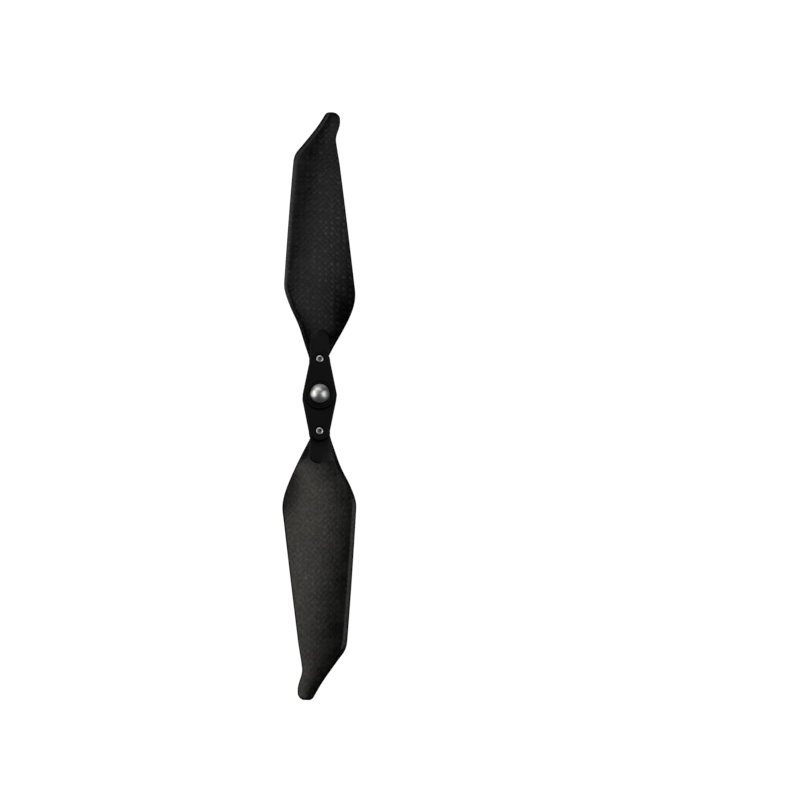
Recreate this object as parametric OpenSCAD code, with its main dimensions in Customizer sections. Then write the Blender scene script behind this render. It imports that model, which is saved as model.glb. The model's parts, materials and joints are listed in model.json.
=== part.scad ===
// Two-blade folding propeller for a small multirotor.
// Z is the shaft axis and points away from the motor. Z = 0 is the seat that rests on the motor.
// The blades lie along +Y and -Y when open, and each swings on its own pivot screw.
// Seen from +Z the propeller turns counter-clockwise, so the +Y blade leads with its -X edge.

/* [Propeller] */
// Distance from the shaft axis to a blade tip
tip_r = 119.4; // [117:0.2:122]
// Distance from the shaft axis to a blade pivot
pivot_y = 14.6; // [14.4:0.1:15]

/* [Hub] */
// Half of the hub's width at its middle
hub_half_w = 6.75; // [6.7:0.05:7.2]
// Radius of the hub's round ends, around the pivots
hub_end_r = 3.84; // [3.7:0.02:4]
// Radius of the round seat that rests on the motor
seat_r = 6.5; // [5.5:0.1:6.5]
// Height of the seat under the lower plate
seat_h = 2; // [1.8:0.1:2.4]
// Thickness of the lower plate
base_t = 2.4; // [2.3:0.1:2.6]
// Thickness of the cover plate
cover_t = 2.2; // [2:0.1:2.5]
// Outside radius of the collar around the dome nut
collar_r = 6.1; // [5.7:0.1:6.3]
// Height of the collar over the cover plate
collar_h = 1.2; // [1:0.1:1.6]

/* [Blade] */
// Thickness of the blade's flat root, where the pivot goes through
root_t = 2.9; // [2.8:0.05:3]
// Radius of the blade's round root end
root_r = 4.2; // [4:0.05:4.3]
// Width of the raised pad on both faces of the root
pad_w = 7.3; // [6.8:0.1:7.6]
// How far the raised pad reaches beyond the pivot
pad_reach = 12.3; // [11:0.1:13]
// Thickness of the blade at its tip
tip_t = 1; // [0.8:0.1:1.2]
// Radius of the tip's corner on the trailing side
tip_corner_r = 2.6; // [2:0.1:3]

/* [Pivots] */
// Diameter of the pivot screw's thread
screw_d = 2; // [1.9:0.05:2]
// Diameter of the pivot screw's head
head_d = 3.3; // [3.1:0.1:3.6]
// Outside diameter of the bush that the blade turns on
bush_d = 4; // [3.8:0.1:4.2]
// Radial play between the bush and the blade
bush_play = 0.03; // [0.02:0.01:0.08]
// Outside diameter of the thrust washers
washer_d = 6.8; // [6.4:0.1:7.2]
// Thickness of a thrust washer
washer_t = 0.3; // [0.3:0.05:0.35]

/* [Dome nut] */
// Outside diameter of the dome nut
nut_d = 7.6; // [7.2:0.1:7.8]
// Radius of the motor shaft's tapped hole
thread_r = 2.6; // [2.4:0.1:2.8]
// Depth of the tapped hole
thread_depth = 9; // [8:0.5:10]
// Height of the nut's domed top
dome_h = 1.4; // [1:0.1:2]

/* [Hidden] */

$fn = 72;
through = 0.5;   // how far a cut runs past the face that it opens

// Heights of the stack, from the motor upwards
base_top = seat_h + base_t;
slot_h = 3.6;    // height of the slot that holds a blade root and its washers
slot_mid = base_top + slot_h / 2;
cover_z = base_top + slot_h;
cover_top = cover_z + cover_t;
collar_top = cover_top + collar_h;

// Hub
side_corner_r = 3;      // rounding of the hub's side corners
web_half_l = 8.3;       // the solid middle between the plates ends here, clear of a folded blade
screw_play = 0.05;
nut_play = 0.15;
bezel_r = 4.4;          // open ring around the dome nut
bezel_depth = 2.2;
rim_groove_r = 4.9;     // inside radius of the groove in the collar's top
rim_groove_w = 0.4;
rim_groove_depth = 0.4;
counterbore_r = 1.95;
counterbore_depth = 1.1;

// Dome nut
flange_af = 9.6;        // across the flats of the hexagon that is trapped in the hub
dome_base = collar_top + 1;
drill_point_h = 1.2;    // cone at the blind end of the tapped hole

// Pivot hardware
head_h = 1.1;
socket_af = 1.3;
socket_depth = 0.7;
screw_bottom = seat_h - 0.85;
lock_nut_af = 4;
lock_nut_h = 1.6;
lock_nut_top = seat_h + 1.4;
lock_collar_r = 1.8;
lock_collar_h = 0.6;
lock_ring_r = 1.5;
lock_ring_h = 0.45;
thread_bite = 0.05;     // the lock nut's thread runs this far inside the screw's outside radius

// Blade outline: distance from the pivot, then distance of the edge from the pitch axis
blade_l = tip_r - pivot_y;
outline_l = 104.8;
leading_edge = [[-2, 3.4], [2, 4.4], [6, 5.7], [14, 8.4], [22, 12.1], [28, 14.1], [32, 14.25],
    [82, 10.9], [86, 9.95], [90, 7.1], [98, 1.4], [105, -2.7]];
trailing_edge = [[-2, 1.8], [3, 4.1], [14, 9.7], [22, 13.1], [28, 14.4], [34, 13.9],
    [82, 8.1], [91, 6.7], [94, 6.5], [100, 8.1], [105, 7.9]];
// Distance from the pivot, then the pitch angle, and the same for the thickness
twist = [[-2, 0], [3, 0], [6, 0.5], [12, 11.5], [18, 16], [28, 18], [50, 16], [80, 11.5], [105, 9.5]];
root_skin_t = 2.5;      // the lofted skin is a little thinner than the root pad around it
thickness = [[-2, root_skin_t], [4, root_skin_t], [14, 2], [50, 1.6], [100, tip_t], [105, tip_t]];

// Distance from the pivot, then how far the trailing edge hangs below the pitched section
trailing_droop = [[-2, 0], [10, 0], [13, 0.2], [20, 1], [26, 1], [31, 0.3], [37, 0], [105, 0]];
droop_start = 0.65;     // share of the width at which the droop starts

camber_ratio = 0.03;    // height of the arched section over its width
airfoil_share = 0.65;   // share of the thickness that follows an airfoil; the rest is a plate
plate_edge_r = 0.5;     // length over which the plate's edges are rounded
leading_round_r = 2.2;  // the same for the leading edge outside the root
nose_droop = 0.4;       // how far the leading edge bends down
nose_l = 2.2;           // width of the bent strip
tip_share = 0.35;       // share of the thickness that is left at the very tip
leading_corner_r = 1;
chord_steps = 14;       // steps across the section, closer together at both edges

// Value at x of a smooth curve through points that are sorted by x
function slope(p, i) = let (a = p[max(i - 1, 0)], b = p[min(i + 1, len(p) - 1)])
    (b[1] - a[1]) / (b[0] - a[0]);
function interval(p, x, i = 0) = i >= len(p) - 2 || x < p[i + 1][0] ? i : interval(p, x, i + 1);
function curve(p, x) =
    let (i = interval(p, x), w = p[i + 1][0] - p[i][0], t = (x - p[i][0]) / w)
    p[i][1] * (1 + 2 * t) * (1 - t) * (1 - t) + slope(p, i) * w * t * (1 - t) * (1 - t)
    + p[i + 1][1] * t * t * (3 - 2 * t) - slope(p, i + 1) * w * t * t * (1 - t);

// How much a round corner of radius c takes off an edge at distance r from the pivot
function corner_cut(r, c) = r < blade_l - c ? 0 : c - sqrt(max(0, c * c - pow(r - blade_l + c, 2)));
function outline_r(r) = r * outline_l / blade_l;
function leading(r) = curve(leading_edge, outline_r(r)) - corner_cut(r, leading_corner_r);
function trailing(r) = curve(trailing_edge, outline_r(r)) - corner_cut(r, tip_corner_r);
// The root is a flat plate; the section changes into an arched airfoil along this length
ramp_start = 4;
ramp_l = 12;
function ramp(r) = min(1, max(0, (r - ramp_start) / ramp_l));

function edge_round(d, c) = d >= c ? 1 : sqrt(max(0, 1 - pow(1 - d / c, 2)));

// Thickness across the width, 1 at its most: a plain plate with rounded edges, and the form of a
// four-digit airfoil with a closed trailing edge
function plate(r, s, w) =
    edge_round(s * w, plate_edge_r + (leading_round_r - plate_edge_r) * ramp(r))
    * edge_round((1 - s) * w, plate_edge_r);
function airfoil(s) = 10 * (0.2969 * sqrt(s) + s * (-0.126 + s * (-0.3516 + s * (0.2843 - 0.1036 * s))));
function half_thickness(r, s, w) =
    curve(thickness, outline_r(r)) / 2
    * (tip_share + (1 - tip_share) * edge_round(blade_l - r, leading_corner_r))
    * ((1 - airfoil_share * ramp(r)) * plate(r, s, w) + airfoil_share * ramp(r) * airfoil(s));

// From 0 at x = 0 to 1 at x = 1 and beyond, without a kink
function smooth(x) = x >= 1 ? 1 : x * x * (3 - 2 * x);

// How far the section's middle line is above its pitched chord
function rise(r, s, w) = camber_ratio * w * ramp(r) * 4 * s * (1 - s)
    - curve(trailing_droop, outline_r(r)) * pow(max(0, (s - droop_start) / (1 - droop_start)), 2)
    - nose_droop * ramp(r) * (1 - smooth(s * w / nose_l));

// Points of the closed section at distance r from the pivot: the upper face, then the lower one
function section(r) =
    let (e0 = leading(r), w = e0 + trailing(r), pitch = tan(curve(twist, outline_r(r))),
        rows = [for (i = [0:chord_steps]) let (s = (1 - cos(180 * i / chord_steps)) / 2, e = e0 - s * w)
            [-e, e * pitch + rise(r, s, w), half_thickness(r, s, w)]])
    concat([for (p = rows) [p[0], r, p[1] + p[2]]],
        [for (i = [chord_steps - 1:-1:1]) [rows[i][0], r, rows[i][1] - rows[i][2]]]);

stations = concat([for (r = [-2:2:34]) r], [for (r = [40:8:80]) r], [for (r = [83:2.5:100.5]) r],
    [for (a = [5:17:90]) blade_l - tip_corner_r * (1 - sin(a))], [blade_l]);

module blade_skin() {
    rings = [for (r = stations) section(r)];
    n = len(rings[0]);
    last = len(rings) - 1;
    walls = [for (k = [0:last - 1], i = [0:n - 1]) let (j = (i + 1) % n)
        each [[k * n + i, (k + 1) * n + j, k * n + j], [k * n + i, (k + 1) * n + i, (k + 1) * n + j]]];
    caps = [[for (i = [0:n - 1]) i], [for (i = [n - 1:-1:0]) last * n + i]];
    polyhedron(points = [for (ring = rings) each ring], faces = concat(walls, caps));
}

// A blade that points along +Y from the origin, which is on its pivot axis
module blade() {
    color([0.1, 0.1, 0.11])
    difference() {
        union() {
            blade_skin();
            translate([0, 0, -root_t / 2]) {
                cylinder(r = root_r, h = root_t);
                translate([-pad_w / 2, 0, 0]) cube([pad_w, pad_reach - pad_w / 2, root_t]);
                translate([0, pad_reach - pad_w / 2, 0]) cylinder(d = pad_w, h = root_t);
            }
        }
        translate([0, 0, -root_t]) cylinder(d = bush_d + 2 * bush_play, h = 2 * root_t);
    }
}

// Outline of the plates: a long hexagon with rounded side corners and round ends
module hub_outline() {
    a = hub_half_w - side_corner_r;
    arc_steps = 3;
    taper = acos((hub_end_r - side_corner_r) / norm([a, pivot_y])) - atan2(pivot_y, a);
    arc = [for (i = [-arc_steps:arc_steps]) let (t = taper * i / arc_steps)
        [a + side_corner_r * cos(t), side_corner_r * sin(t)]];
    tangent = [hub_end_r * cos(taper), pivot_y + hub_end_r * sin(taper)];
    side = concat([[tangent[0], -tangent[1]]], arc, [tangent]);
    polygon(concat(side, [for (p = side) -p]));
    for (s = [-1, 1]) translate([0, s * pivot_y]) circle(r = hub_end_r);
}

module at_pivots() {
    for (a = [0, 180]) rotate([0, 0, a]) translate([0, pivot_y, 0]) children();
}

// Draws its children at the pivot of one blade: side 0 is the +Y one and side 1 the -Y one
module at_pivot(side) {
    rotate([0, 0, side * 180]) translate([0, pivot_y, 0]) children();
}

module hexagon(across_flats, h) {
    cylinder(d = across_flats / cos(30), h = h, $fn = 6);
}

module hub_base() {
    color([0.13, 0.13, 0.14])
    difference() {
        union() {
            cylinder(r = seat_r, h = seat_h + base_t / 2);
            translate([0, 0, seat_h]) linear_extrude(base_t) hub_outline();
            translate([0, 0, base_top]) linear_extrude(slot_h) intersection() {
                hub_outline();
                square([4 * hub_half_w, 2 * web_half_l], center = true);
            }
        }
        translate([0, 0, -through]) cylinder(d = nut_d + 2 * nut_play, h = cover_z);
        translate([0, 0, base_top]) rotate([0, 0, 30])
            hexagon(flange_af + 2 * screw_play, slot_h + through);
        at_pivots() {
            cylinder(d = screw_d + 2 * screw_play, h = cover_z);
            translate([0, 0, -through]) hexagon(lock_nut_af + 2 * screw_play, lock_nut_top + through);
        }
    }
}

module hub_cover() {
    color([0.13, 0.13, 0.14])
    difference() {
        union() {
            translate([0, 0, cover_z]) linear_extrude(cover_t) hub_outline();
            translate([0, 0, cover_z]) cylinder(r = collar_r, h = cover_t + collar_h);
        }
        translate([0, 0, cover_z - through])
            cylinder(d = nut_d + 2 * nut_play, h = cover_t + collar_h + 2 * through);
        translate([0, 0, collar_top - bezel_depth]) cylinder(r = bezel_r, h = bezel_depth + through);
        translate([0, 0, collar_top - rim_groove_depth])
            ring(rim_groove_r + rim_groove_w, rim_groove_r, rim_groove_depth + through);
        at_pivots() {
            translate([0, 0, cover_z - through])
                cylinder(d = screw_d + 2 * screw_play, h = cover_t + 2 * through);
            translate([0, 0, cover_top - counterbore_depth])
                cylinder(r = counterbore_r, h = counterbore_depth + through);
        }
    }
}

module shaft_nut() {
    dome_r = (pow(nut_d / 2, 2) + dome_h * dome_h) / (2 * dome_h);
    color([0.8, 0.8, 0.82])
    difference() {
        union() {
            cylinder(d = nut_d, h = dome_base);
            translate([0, 0, base_top]) rotate([0, 0, 30]) hexagon(flange_af, slot_h);
            intersection() {
                translate([0, 0, dome_base + dome_h - dome_r]) sphere(r = dome_r);
                translate([0, 0, dome_base - dome_h]) cylinder(d = nut_d, h = 3 * dome_h);
            }
        }
        translate([0, 0, -through]) cylinder(r = thread_r, h = thread_depth + through);
        translate([0, 0, thread_depth]) cylinder(r1 = thread_r, r2 = 0, h = drill_point_h);
    }
}

module blade_a() {
    translate([0, 0, slot_mid]) at_pivot(0) blade();
}

module blade_b() {
    translate([0, 0, slot_mid]) at_pivot(1) blade();
}

module ring(outer_r, inner_r, h) {
    rotate_extrude() translate([inner_r, 0]) square([outer_r - inner_r, h]);
}

module pivot_bush(side) {
    color([0.72, 0.58, 0.32])
    at_pivot(side) translate([0, 0, base_top])
        ring(bush_d / 2, screw_d / 2 + screw_play, slot_h);
}

module thrust_washer(side, z) {
    color([0.9, 0.9, 0.86])
    at_pivot(side) translate([0, 0, z])
        ring(washer_d / 2, bush_d / 2 + screw_play, washer_t);
}

// Button-head screw with a hexagon socket
module pivot_screw(side) {
    head_z = cover_top - counterbore_depth;
    edge = 0.35;       // height of the head's straight side
    crown = 0.5;       // how far the head's flat top is inside its side
    shoulder = 0.17;   // the same for the ring where the crown gets flatter
    shoulder_h = 0.88; // height of that ring
    color([0.75, 0.75, 0.77])
    at_pivot(side) difference() {
        rotate_extrude() polygon([[0, screw_bottom], [screw_d / 2, screw_bottom],
            [screw_d / 2, head_z], [head_d / 2, head_z], [head_d / 2, head_z + edge],
            [head_d / 2 - shoulder, head_z + shoulder_h],
            [head_d / 2 - crown, head_z + head_h], [0, head_z + head_h]]);
        translate([0, 0, head_z + head_h - socket_depth]) hexagon(socket_af, socket_depth + through);
    }
}

module lock_nut(side) {
    bottom = lock_nut_top - lock_nut_h - lock_collar_h;
    color([0.7, 0.7, 0.72])
    at_pivot(side) difference() {
        union() {
            translate([0, 0, lock_nut_top - lock_nut_h]) hexagon(lock_nut_af, lock_nut_h);
            translate([0, 0, bottom]) cylinder(r = lock_collar_r, h = lock_collar_h + lock_nut_h / 2);
        }
        cylinder(r = screw_d / 2 - thread_bite, h = lock_nut_top + through);
        translate([0, 0, bottom]) cylinder(r = lock_ring_r, h = lock_ring_h);
    }
}

// Nylon ring that grips the screw's thread
module lock_ring(side) {
    color([0.85, 0.86, 0.9])
    at_pivot(side) translate([0, 0, lock_nut_top - lock_nut_h - lock_collar_h])
        ring(lock_ring_r, screw_d / 2 - thread_bite, lock_ring_h);
}

module pivot_bush_a() { pivot_bush(0); }
module pivot_bush_b() { pivot_bush(1); }
module upper_washer_a() { thrust_washer(0, cover_z - washer_t); }
module upper_washer_b() { thrust_washer(1, cover_z - washer_t); }
module lower_washer_a() { thrust_washer(0, base_top); }
module lower_washer_b() { thrust_washer(1, base_top); }
module pivot_screw_a() { pivot_screw(0); }
module pivot_screw_b() { pivot_screw(1); }
module lock_nut_a() { lock_nut(0); }
module lock_nut_b() { lock_nut(1); }
module lock_ring_a() { lock_ring(0); }
module lock_ring_b() { lock_ring(1); }

hub_base();
hub_cover();
shaft_nut();
blade_a();
blade_b();
pivot_bush_a();
pivot_bush_b();
upper_washer_a();
upper_washer_b();
lower_washer_a();
lower_washer_b();
pivot_screw_a();
pivot_screw_b();
lock_nut_a();
lock_nut_b();
lock_ring_a();
lock_ring_b();
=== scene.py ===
import json
import math
from collections import namedtuple

import bmesh
import bpy
from mathutils import Matrix, Vector
from mathutils.geometry import tessellate_polygon


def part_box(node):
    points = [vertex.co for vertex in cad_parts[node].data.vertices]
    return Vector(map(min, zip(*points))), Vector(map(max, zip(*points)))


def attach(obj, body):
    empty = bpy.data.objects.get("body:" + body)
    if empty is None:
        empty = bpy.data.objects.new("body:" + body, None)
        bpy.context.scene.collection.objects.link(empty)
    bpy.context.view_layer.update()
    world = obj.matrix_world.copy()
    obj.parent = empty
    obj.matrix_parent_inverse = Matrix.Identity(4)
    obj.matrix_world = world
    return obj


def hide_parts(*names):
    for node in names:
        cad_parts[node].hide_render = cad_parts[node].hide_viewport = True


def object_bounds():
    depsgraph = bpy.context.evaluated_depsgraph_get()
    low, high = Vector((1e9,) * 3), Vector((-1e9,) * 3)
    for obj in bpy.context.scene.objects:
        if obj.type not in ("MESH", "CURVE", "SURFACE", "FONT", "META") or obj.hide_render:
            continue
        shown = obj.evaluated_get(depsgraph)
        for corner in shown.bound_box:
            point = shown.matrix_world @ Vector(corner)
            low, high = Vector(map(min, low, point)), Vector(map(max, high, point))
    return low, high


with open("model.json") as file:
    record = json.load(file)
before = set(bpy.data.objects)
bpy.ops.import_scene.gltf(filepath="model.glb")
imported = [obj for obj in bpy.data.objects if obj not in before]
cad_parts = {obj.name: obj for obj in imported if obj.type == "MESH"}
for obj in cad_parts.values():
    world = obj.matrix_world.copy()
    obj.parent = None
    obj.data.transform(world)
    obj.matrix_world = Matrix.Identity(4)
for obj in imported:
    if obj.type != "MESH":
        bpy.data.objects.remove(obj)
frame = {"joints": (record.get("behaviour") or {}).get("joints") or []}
cad_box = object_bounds()

MM = 0.001
FULL_TURN = 2 * math.pi
QUARTER_TURN = math.pi / 2

# ---------------------------------------------------------------- places, in millimetres, from the frame

pivots = {j["child"]: Vector(j["pos_m"]) for j in frame["joints"]}
PIVOT_Y = pivots["blade_a"].y / MM
SLOT_MID = pivots["blade_a"].z / MM
TIP_GAP = 0.0001        # keeps the tip's rounding errors inside the CAD box
TIP_R = round(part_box("blade_a")[1].y / MM, 4) - TIP_GAP
BLADE_L = TIP_R - PIVOT_Y

cover_low, cover_high = (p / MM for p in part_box("hub_cover"))
nut_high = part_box("shaft_nut")[1] / MM
screw_low, screw_high = (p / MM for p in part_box("pivot_screw_a"))
lock_low, lock_high = (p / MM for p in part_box("lock_nut_a"))
bush_low, bush_high = (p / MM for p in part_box("pivot_bush_a"))

HUB_HALF_W = cover_high.x
HUB_END_R = cover_high.y - PIVOT_Y
BASE_TOP = bush_low.z
BASE_T = 2.4            # thickness of the lower plate
SEAT_H = BASE_TOP - BASE_T
COVER_Z = cover_low.z
COLLAR_TOP = cover_high.z
COLLAR_H = 1.2          # height of the collar over the cover
COVER_TOP = COLLAR_TOP - COLLAR_H


# ---------------------------------------------------------------- mesh building

SHARP_DEG = 38          # a steeper edge between two faces is shaded as an edge


class Shell:
    """Builds one closed mesh from loops of points, in millimetres."""

    def __init__(self):
        self.bm = bmesh.new()

    def loop(self, points):
        return [self.bm.verts.new(Vector(p) * MM) for p in points]

    def strip(self, a, b):
        n = len(a)
        for i in range(n):
            self.bm.faces.new((a[i], a[(i + 1) % n], b[(i + 1) % n], b[i]))

    def strips(self, loops):
        for a, b in zip(loops, loops[1:]):
            self.strip(a, b)

    def fill(self, *loops):
        """A flat face inside the first loop, with the other loops as holes in it."""
        verts = [v for loop in loops for v in loop]
        for tri in tessellate_polygon([[v.co for v in loop] for loop in loops]):
            corners = [verts[i] for i in tri]
            if len(set(corners)) == 3:
                self.bm.faces.new(corners)

    def cap(self, loop):
        """Closes a loop with a fan around its middle."""
        middle = sum((v.co for v in loop), Vector()) / len(loop)
        centre = self.bm.verts.new(middle)
        for i, v in enumerate(loop):
            self.bm.faces.new((v, loop[(i + 1) % len(loop)], centre))

    def make(self, name, sharp_deg=SHARP_DEG):
        bmesh.ops.recalc_face_normals(self.bm, faces=self.bm.faces)
        mesh = bpy.data.meshes.new(name)
        self.bm.to_mesh(mesh)
        self.bm.free()
        mesh.shade_smooth()
        mesh.set_sharp_from_angle(angle=math.radians(sharp_deg))
        obj = bpy.data.objects.new(name, mesh)
        bpy.context.scene.collection.objects.link(obj)
        weighted = obj.modifiers.new("flat faces stay flat", "WEIGHTED_NORMAL")
        weighted.keep_sharp = True
        return obj


ROUND_STEPS = 96        # points round a part


def circle(r, z, steps=ROUND_STEPS, at=(0, 0)):
    angles = [FULL_TURN * i / steps for i in range(steps)]
    return [(at[0] + r * math.cos(a), at[1] + r * math.sin(a), z) for a in angles]


def hexagon(half_flats, z, steps=ROUND_STEPS, at=(0, 0), turn=0.0, corner_r=None):
    """A hexagon with as many points as a circle has, so that the two can be joined.

    corner_r clips its corners to a circle.
    """
    points = []
    for i in range(steps):
        a = FULL_TURN * i / steps
        flat = (a - turn + math.pi / 6) % (math.pi / 3) - math.pi / 6
        r = half_flats / math.cos(flat)
        if corner_r is not None:
            r = min(r, corner_r)
        points.append((at[0] + r * math.cos(a), at[1] + r * math.sin(a), z))
    return points


ROUNDING_SHARE = 0.49   # the most of a profile's side that the rounding at one of its ends may take


def rounded(profile, steps=4):
    """A profile of (r, z) points with round corners.

    Each point between the first and the last has a third value, the size of its rounding.
    """
    out = [profile[0]]
    for k in range(1, len(profile) - 1):
        p, q, s = (Vector(profile[k + d][:2]) for d in (-1, 0, 1))
        a, b = (p - q), (s - q)
        size = min(profile[k][2], a.length * ROUNDING_SHARE, b.length * ROUNDING_SHARE)
        start, end = q + a.normalized() * size, q + b.normalized() * size
        for i in range(steps + 1):
            t = i / steps
            out.append(tuple(start * (1 - t) ** 2 + q * 2 * t * (1 - t) + end * t ** 2))
    out.append(profile[-1])
    return out


def lathe(shell, profile, at=(0, 0), steps=ROUND_STEPS, close=False):
    """Turns a profile of (r, z) points round the vertical line at a place.

    close joins its end to its start.
    """
    loops = [shell.loop(circle(r, z, steps, at)) for r, z in profile]
    shell.strips(loops)
    if close:
        shell.strip(loops[-1], loops[0])
    return loops


def place(obj, body, *nodes, slot):
    """Rides a piece on a body, in the place of CAD nodes. slot is not used."""
    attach(obj, body)
    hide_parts(*nodes)
    return obj


# ---------------------------------------------------------------- hub

SIDE_CORNER_R = 3.0
WEB_CORNER_R = 0.5


def hub_outline(inset, z, half_l=None):
    """The long hexagon of the plates, moved inwards by inset. half_l cuts its ends off square."""
    a = HUB_HALF_W - SIDE_CORNER_R
    taper = math.acos((HUB_END_R - SIDE_CORNER_R) / math.hypot(a, PIVOT_Y)) - math.atan2(PIVOT_Y, a)
    side_steps, end_steps, corner_steps = 6, 28, 4
    quarter = []
    for i in range(-side_steps, side_steps + 1):
        t = taper * i / side_steps
        r = SIDE_CORNER_R - inset
        quarter.append((a + r * math.cos(t), r * math.sin(t)))
    if half_l is None:
        for i in range(end_steps + 1):
            t = taper + (math.pi - 2 * taper) * i / end_steps
            r = HUB_END_R - inset
            quarter.append((r * math.cos(t), PIVOT_Y + r * math.sin(t)))
    else:
        y = half_l - inset
        line = a * math.cos(taper) + SIDE_CORNER_R - inset
        x = (line - y * math.sin(taper)) / math.cos(taper)
        for sign in (1, -1):
            for i in range(corner_steps + 1):
                t = QUARTER_TURN * ((1 - sign) / 2 + i / corner_steps)
                quarter.append((sign * (x - WEB_CORNER_R) + WEB_CORNER_R * math.cos(t),
                                y - WEB_CORNER_R + WEB_CORNER_R * math.sin(t)))
    return [(x, y, z) for x, y in quarter] + [(-x, -y, z) for x, y in quarter]


def edge_profile(z0, z1, low, high, steps=4):
    """(inset, z) along a plate's side from its lower face to its upper one, with round edges."""
    angles = [QUARTER_TURN * i / steps for i in range(steps + 1)]
    points = [(low * (1 - math.sin(t)), z0 + low * (1 - math.cos(t))) for t in angles]
    points += [(high * (1 - math.cos(t)), z1 - high * (1 - math.sin(t))) for t in angles]
    return points


HOLE_STEPS = 64
SCREW_HOLE_R = 1.05
COUNTERBORE_R = 1.95
COUNTERBORE_H = 1.1
NUT_HOLE_R = 3.95
BEZEL_R = 4.4
BEZEL_H = 2.2
COLLAR_R = 6.1
GROOVE_R = 4.9
GROOVE_W = 0.4
GROOVE_H = 0.4
FILLET_W = 0.25         # where the collar rises from the plate
COLLAR_DRAFT = 0.12     # moulded walls lean by this much
BEZEL_DRAFT = 0.04
GROOVE_DRAFT = 0.05
COVER_EDGE = 0.38       # rounding of the cover's upper edge
PLATE_EDGE = 0.15       # and of its lower edge
CHAMFER = 0.12


def collar_profile():
    """From the plate over the collar, into its groove, down round the nut and through the plate."""
    groove_floor, bezel_floor = COLLAR_TOP - GROOVE_H, COLLAR_TOP - BEZEL_H
    return rounded([
        (COLLAR_R + FILLET_W, COVER_TOP),
        (COLLAR_R, COVER_TOP, 0.2),
        (COLLAR_R - COLLAR_DRAFT, COLLAR_TOP, 0.3),
        (GROOVE_R + GROOVE_W, COLLAR_TOP, 0.15),
        (GROOVE_R + GROOVE_W - GROOVE_DRAFT, groove_floor, 0.1),
        (GROOVE_R + GROOVE_DRAFT, groove_floor, 0.1),
        (GROOVE_R, COLLAR_TOP, 0.15),
        (BEZEL_R, COLLAR_TOP, 0.15),
        (BEZEL_R - BEZEL_DRAFT, bezel_floor, 0.1),
        (NUT_HOLE_R, bezel_floor, 0.08),
        (NUT_HOLE_R, COVER_Z),
    ])


def counterbore_profile():
    """Down through the plate where a screw's head is sunk in it."""
    floor = COVER_TOP - COUNTERBORE_H
    return rounded([
        (COUNTERBORE_R + CHAMFER, COVER_TOP),
        (COUNTERBORE_R, COVER_TOP - CHAMFER, 0.05),
        (COUNTERBORE_R, floor, 0.1),
        (SCREW_HOLE_R, floor, 0.05),
        (SCREW_HOLE_R, COVER_Z),
    ])


def make_hub_cover():
    shell = Shell()
    edge = edge_profile(COVER_Z, COVER_TOP, PLATE_EDGE, COVER_EDGE)
    sides = [shell.loop(hub_outline(inset, z)) for inset, z in edge]
    shell.strips(sides)
    openings = [lathe(shell, collar_profile())]
    openings += [lathe(shell, counterbore_profile(), (0, s * PIVOT_Y), HOLE_STEPS) for s in (1, -1)]
    shell.fill(sides[-1], *(opening[0] for opening in openings))
    shell.fill(sides[0], *(opening[-1] for opening in openings))
    return shell.make("cover_plate")


WEB_HALF_L = 8.3
WEB_INSET = 0.1
WEB_EDGE_START = 0.2    # height over the lower plate where the web's own wall starts
SEAT_R = 6.5
SEAT_DRAFT = 0.05
SEAT_FILLET = 0.15
BASE_EDGE = 0.3         # rounding of the lower plate's lower edge
POCKET_CHAMFER = 0.1
FLANGE_POCKET_HALF_FLATS = 4.85
FLANGE_POCKET_CORNER_R = 5.5
LOCK_POCKET_HALF_FLATS = 2.05
LOCK_POCKET_CORNER_R = 2.3
LOCK_POCKET_TOP = lock_high.z
LOCK_NUT_TURN = QUARTER_TURN


def seat_profile():
    """From the nut's hole over the seat on the motor and up to the lower plate."""
    return rounded([
        (NUT_HOLE_R, BASE_TOP),
        (NUT_HOLE_R, 0, 0.15),
        (SEAT_R, 0, 0.2),
        (SEAT_R + SEAT_DRAFT, SEAT_H - SEAT_FILLET, 0.05),
        (SEAT_R + SEAT_DRAFT + SEAT_FILLET, SEAT_H),
    ])


def pocket_loops(shell, half_flats, corner_r, levels, **where):
    """Loops of a hexagon pocket. levels are how much wider it is than half_flats, and at which height."""
    loops = [shell.loop(hexagon(half_flats + g, z, corner_r=corner_r + g, **where)) for g, z in levels]
    shell.strips(loops)
    return loops


def lock_nut_hole(shell, at):
    """The pocket of a lock nut with the screw's hole over it: their lowest and their highest loop."""
    levels = ((POCKET_CHAMFER, SEAT_H), (0, SEAT_H + POCKET_CHAMFER), (0, LOCK_POCKET_TOP))
    pocket = pocket_loops(shell, LOCK_POCKET_HALF_FLATS, LOCK_POCKET_CORNER_R, levels,
                          at=at, turn=LOCK_NUT_TURN)
    bore = lathe(shell, [(SCREW_HOLE_R, LOCK_POCKET_TOP), (SCREW_HOLE_R, BASE_TOP)], at)
    shell.strip(pocket[-1], bore[0])
    return pocket[0], bore[-1]


def make_hub_base():
    shell = Shell()
    edge = edge_profile(SEAT_H, BASE_TOP, BASE_EDGE, CHAMFER)
    sides = [shell.loop(hub_outline(inset, z)) for inset, z in edge]
    shell.strips(sides)
    edge = [(0, BASE_TOP)] + edge_profile(BASE_TOP + WEB_EDGE_START, COVER_Z, 0, CHAMFER)
    web = [shell.loop(hub_outline(inset + WEB_INSET, z, WEB_HALF_L + WEB_INSET)) for inset, z in edge]
    shell.strips(web)
    levels = ((POCKET_CHAMFER, COVER_Z), (0, COVER_Z - POCKET_CHAMFER), (0, BASE_TOP))
    pocket = pocket_loops(shell, FLANGE_POCKET_HALF_FLATS, FLANGE_POCKET_CORNER_R, levels)
    shell.fill(web[-1], pocket[0])
    under = lathe(shell, seat_profile())
    shell.strip(pocket[-1], under[0])
    holes = [lock_nut_hole(shell, (0, s * PIVOT_Y)) for s in (1, -1)]
    shell.fill(sides[-1], web[0], *(top for _, top in holes))
    shell.fill(sides[0], under[-1], *(bottom for bottom, _ in holes))
    return shell.make("lower_plate")


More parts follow.
